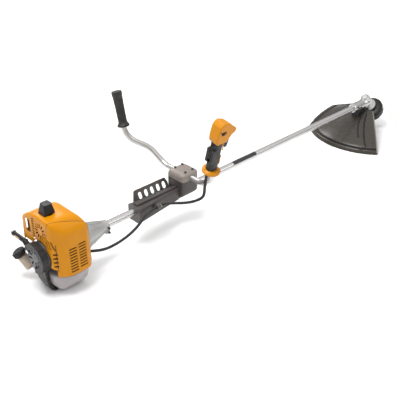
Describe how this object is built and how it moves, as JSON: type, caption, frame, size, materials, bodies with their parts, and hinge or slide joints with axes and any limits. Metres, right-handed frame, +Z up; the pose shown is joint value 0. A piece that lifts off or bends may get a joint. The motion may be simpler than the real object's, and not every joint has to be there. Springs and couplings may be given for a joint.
{
  "type": "petrol brush cutter",
  "caption": "Petrol brush cutter: cowled engine on a straight tube, bullhorn handlebar with throttle grip, bevel gear head with line trimmer head and fan-shaped guard.",
  "frame": {"origin": "on the floor at the middle of the flat base of the fuel tank", "axes": "+X forward along the drive tube, +Y to the machine left, +Z up; the machine lies on its tank and guard"},
  "size_m": [1.8516, 0.5521, 0.5106],
  "materials": {
    "satin_aluminium": "satin",
    "cast_aluminium": "cast",
    "steel": "machined",
    "machined_aluminium": "machined",
    "black_screw": "black oxide",
    "yellow_plastic": "semi gloss",
    "black_plastic": "moulded",
    "grey_plastic": "moulded",
    "light_grey_plastic": "moulded",
    "tank_plastic": "translucent moulded",
    "black_rubber": "matte",
    "foam": "open cell",
    "rope": "braided",
    "nylon": "clear"
  },
  "bodies": {
    "machine": {"drive_tube": "satin_aluminium", "clutch_housing": "cast_aluminium", "crankcase_halves": "cast_aluminium", "bearings_and_bushes": "steel", "connecting_rod": "steel", "piston": "machined_aluminium", "cylinder": "cast_aluminium", "fan_housing": "cast_aluminium", "ignition_coil": "black_plastic", "spark_plug": "steel", "plug_boot": "black_rubber", "muffler": "steel", "carburettor": "machined_aluminium", "air_filter_base": "black_plastic", "air_filter_foam": "foam", "air_filter_cover": "black_plastic", "engine_cowl": "yellow_plastic", "plug_cap": "black_plastic", "starter_housing": "cast_aluminium", "recoil_spring": "steel", "starter_guard": "black_plastic", "fuel_tank": "tank_plastic", "tank_stand": "black_plastic", "hip_guard": "grey_plastic", "clamp_base": "grey_plastic", "clamp_cap": "light_grey_plastic", "handlebar": "satin_aluminium", "left_grip": "black_rubber", "throttle_shell": "yellow_plastic", "throttle_grip": "black_rubber", "throttle_cable": "black_rubber", "gear_case": "cast_aluminium", "guard": "grey_plastic", "guard_bracket": "black_plastic", "line_cutter": "steel", "screws_and_pins": "black_screw"},
    "crank": {"crankshaft": "steel", "flywheel_fan": "machined_aluminium", "clutch_shoes": "steel"},
    "drive": {"clutch_drum": "steel", "drive_shaft": "steel", "bevel_pinion": "steel"},
    "head": {"output_arbor": "steel", "crown_gear": "steel", "trimmer_housing": "black_plastic", "spool": "black_plastic", "spool_cover": "black_plastic", "line_right": "nylon", "line_left": "nylon"},
    "knob": {"bump_knob": "black_plastic"},
    "trigger": {"trigger": "black_plastic"},
    "lockout": {"lockout_lever": "black_plastic"},
    "switch": {"stop_switch": "black_plastic"},
    "choke": {"choke_lever": "black_plastic"},
    "primer": {"primer_bulb": "black_rubber"},
    "valve": {"throttle_valve": "machined_aluminium"},
    "pull": {"starter_handle": "black_plastic", "starter_rope": "rope"},
    "pulley": {"starter_pulley": "black_plastic"},
    "tank_cap": {"fuel_cap": "black_plastic"}
  },
  "joints": [
    {"name": "engine_spin", "type": "hinge", "parent": "machine", "child": "crank", "pos_m": [-0.036, 0, 0.13], "axis": [1, 0, 0], "continuous": true},
    {"name": "drive_spin", "type": "hinge", "parent": "machine", "child": "drive", "pos_m": [0.5, 0, 0.13], "axis": [1, 0, 0], "continuous": true},
    {"name": "head_spin", "type": "hinge", "parent": "machine", "child": "head", "pos_m": [1.632, 0, 0.13], "axis": [0.6428, 0, -0.766], "continuous": true},
    {"name": "bump_feed", "type": "slide", "parent": "head", "child": "knob", "axis": [-0.6428, 0, 0.766], "range_m": [0, 0.005], "stiffness_N_per_m": 600, "springref_m": -0.005},
    {"name": "trigger_pull", "type": "hinge", "parent": "machine", "child": "trigger", "pos_m": [0.462, -0.24955, 0.44367], "axis": [0, 0.9707, 0.2402], "range_deg": [0, 11], "stiffness_Nm_per_rad": 0.6, "springref_deg": -17.19},
    {"name": "lockout_press", "type": "hinge", "parent": "machine", "child": "lockout", "pos_m": [0.414, -0.24331, 0.41843], "axis": [0, -0.9707, -0.2402], "range_deg": [0, 5], "stiffness_Nm_per_rad": 0.5, "springref_deg": -17.19},
    {"name": "stop_slide", "type": "slide", "parent": "machine", "child": "switch", "axis": [1, 0, 0], "range_m": [0, 0.006]},
    {"name": "choke_turn", "type": "hinge", "parent": "machine", "child": "choke", "pos_m": [-0.036, 0.078, 0.162], "axis": [0, 1, 0], "range_deg": [0, 38]},
    {"name": "primer_press", "type": "slide", "parent": "machine", "child": "primer", "axis": [1, 0, 0], "range_m": [0, 0.003], "stiffness_N_per_m": 300, "springref_m": -0.003},
    {"name": "throttle_open", "type": "hinge", "parent": "machine", "child": "valve", "pos_m": [-0.036, 0.064, 0.2], "axis": [0, 0, 1], "range_deg": [0, 66]},
    {"name": "starter_pull", "type": "slide", "parent": "machine", "child": "pull", "axis": [0, 1, 0], "range_m": [0, 0.6], "stiffness_N_per_m": 8, "springref_m": -0.6},
    {"name": "pulley_spin", "type": "hinge", "parent": "machine", "child": "pulley", "pos_m": [-0.093, 0, 0.13], "axis": [-1, 0, 0], "range_deg": [0, 1719]},
    {"name": "tank_cap_turn", "type": "hinge", "parent": "machine", "child": "tank_cap", "pos_m": [-0.098, 0.106, 0.086], "axis": [-0.401, 0.3609, 0.842], "range_deg": [0, 450]}
  ],
  "couplings": [
    {"joint": "head_spin", "follows": "drive_spin", "ratio": -0.73684},
    {"joint": "throttle_open", "follows": "trigger_pull", "ratio": 6},
    {"joint": "pulley_spin", "follows": "starter_pull", "rad_per_m": 50}
  ]
}
